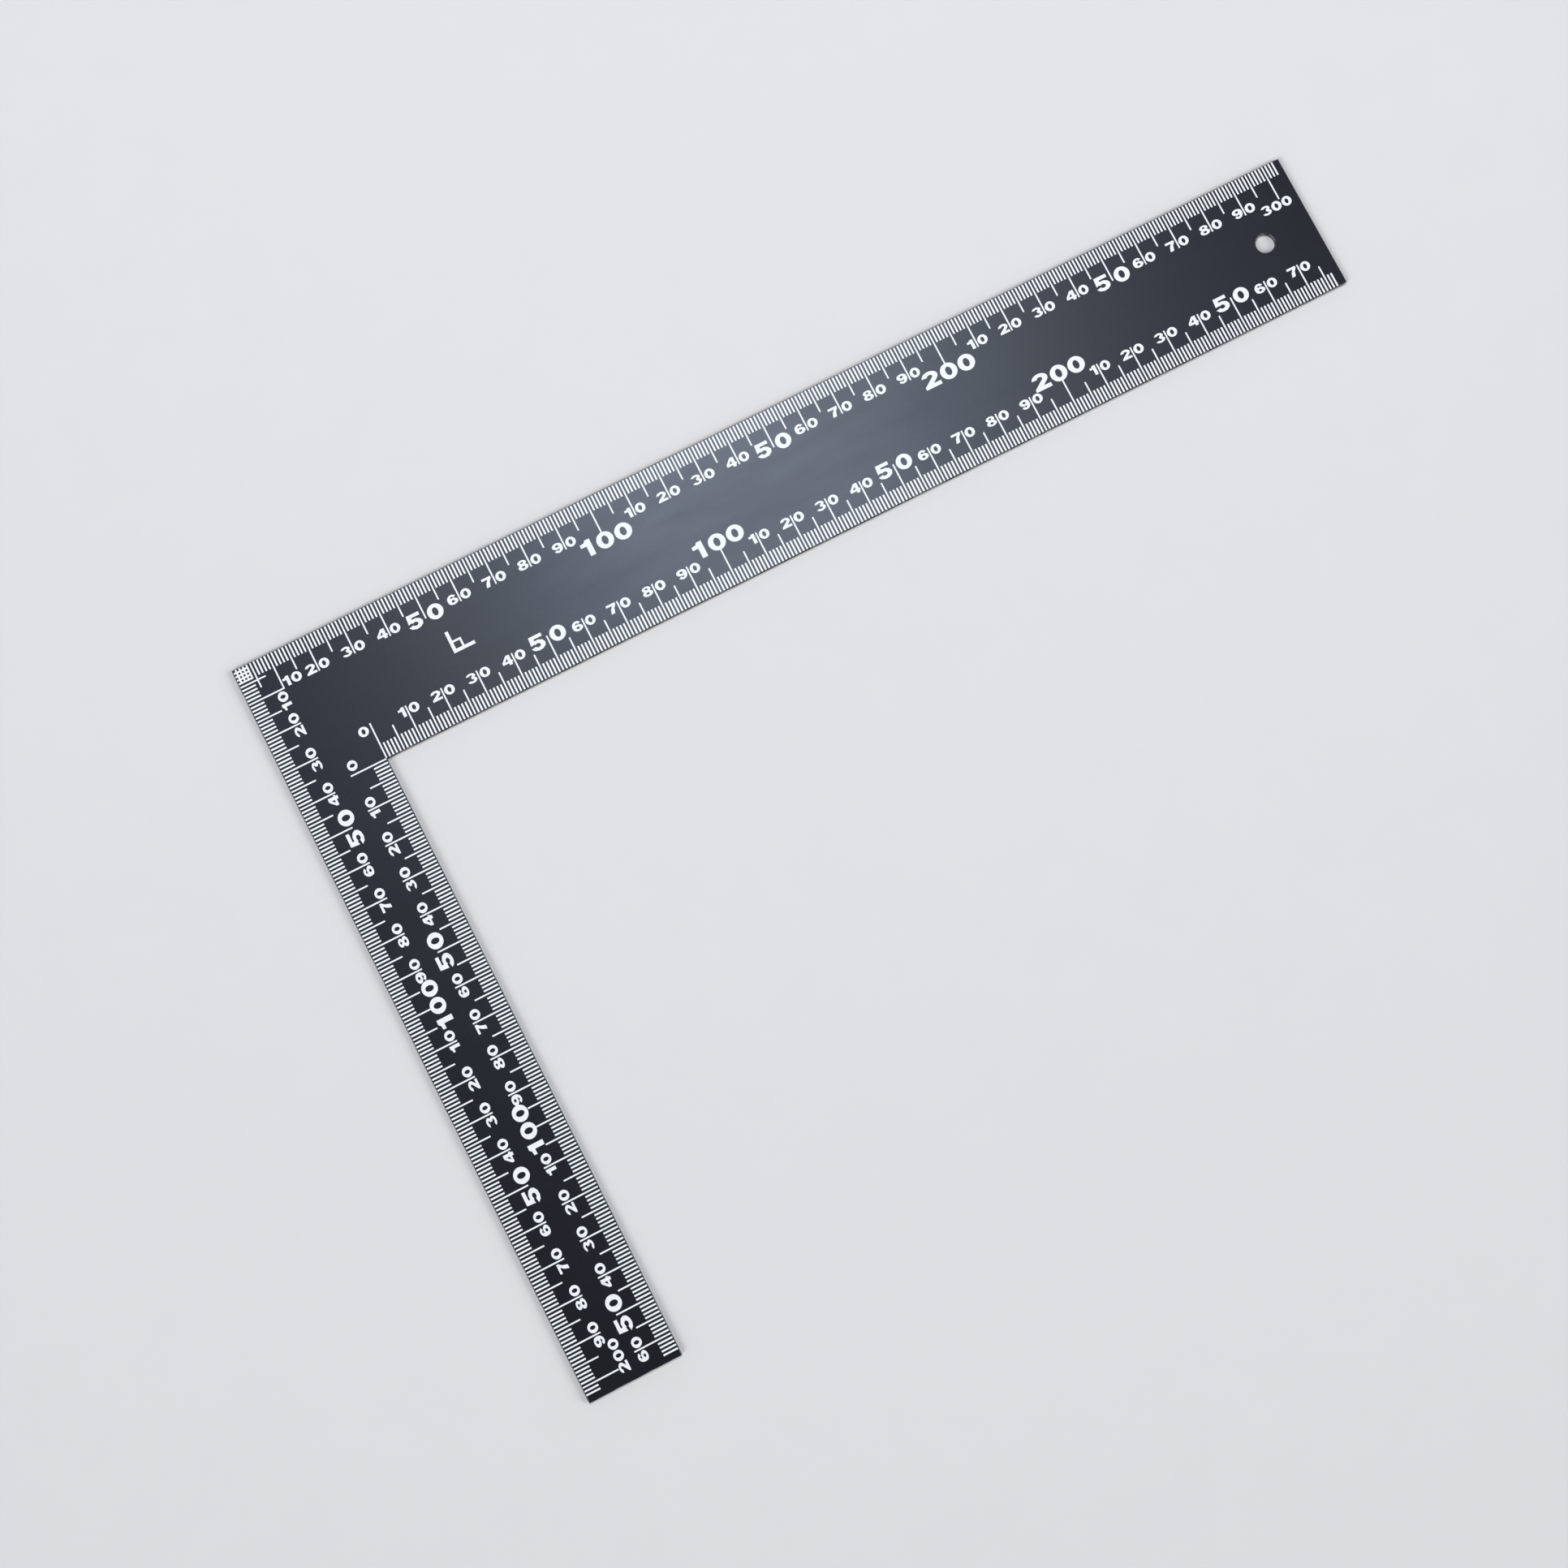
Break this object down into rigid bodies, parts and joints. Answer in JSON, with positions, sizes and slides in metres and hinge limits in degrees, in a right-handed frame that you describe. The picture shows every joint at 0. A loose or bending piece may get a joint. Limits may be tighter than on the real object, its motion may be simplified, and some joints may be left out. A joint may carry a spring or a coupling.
{
  "type": "square ruler",
  "caption": "L-shaped flat steel square ruler, black coated, with white millimetre scales along both edges of each arm and a hanging hole.",
  "frame": {"origin": "outer corner of the L, where the two outer scales have their common zero, on the back face", "axes": "+X along the long arm, the short arm runs along -Y, +Z out of the graduated face"},
  "size_m": [0.3052, 0.2041, 0.0012],
  "materials": {
    "black_coating": "satin",
    "white_enamel": "matte"
  },
  "bodies": {
    "root": {"square_plate": "black_coating", "corner_grid": "white_enamel", "outer_long_graduations": "white_enamel", "outer_long_numerals": "white_enamel", "inner_long_graduations": "white_enamel", "inner_long_numerals": "white_enamel", "outer_short_graduations": "white_enamel", "outer_short_numerals": "white_enamel", "inner_short_graduations": "white_enamel", "inner_short_numerals": "white_enamel", "angle_symbol": "white_enamel"}
  },
  "joints": []
}
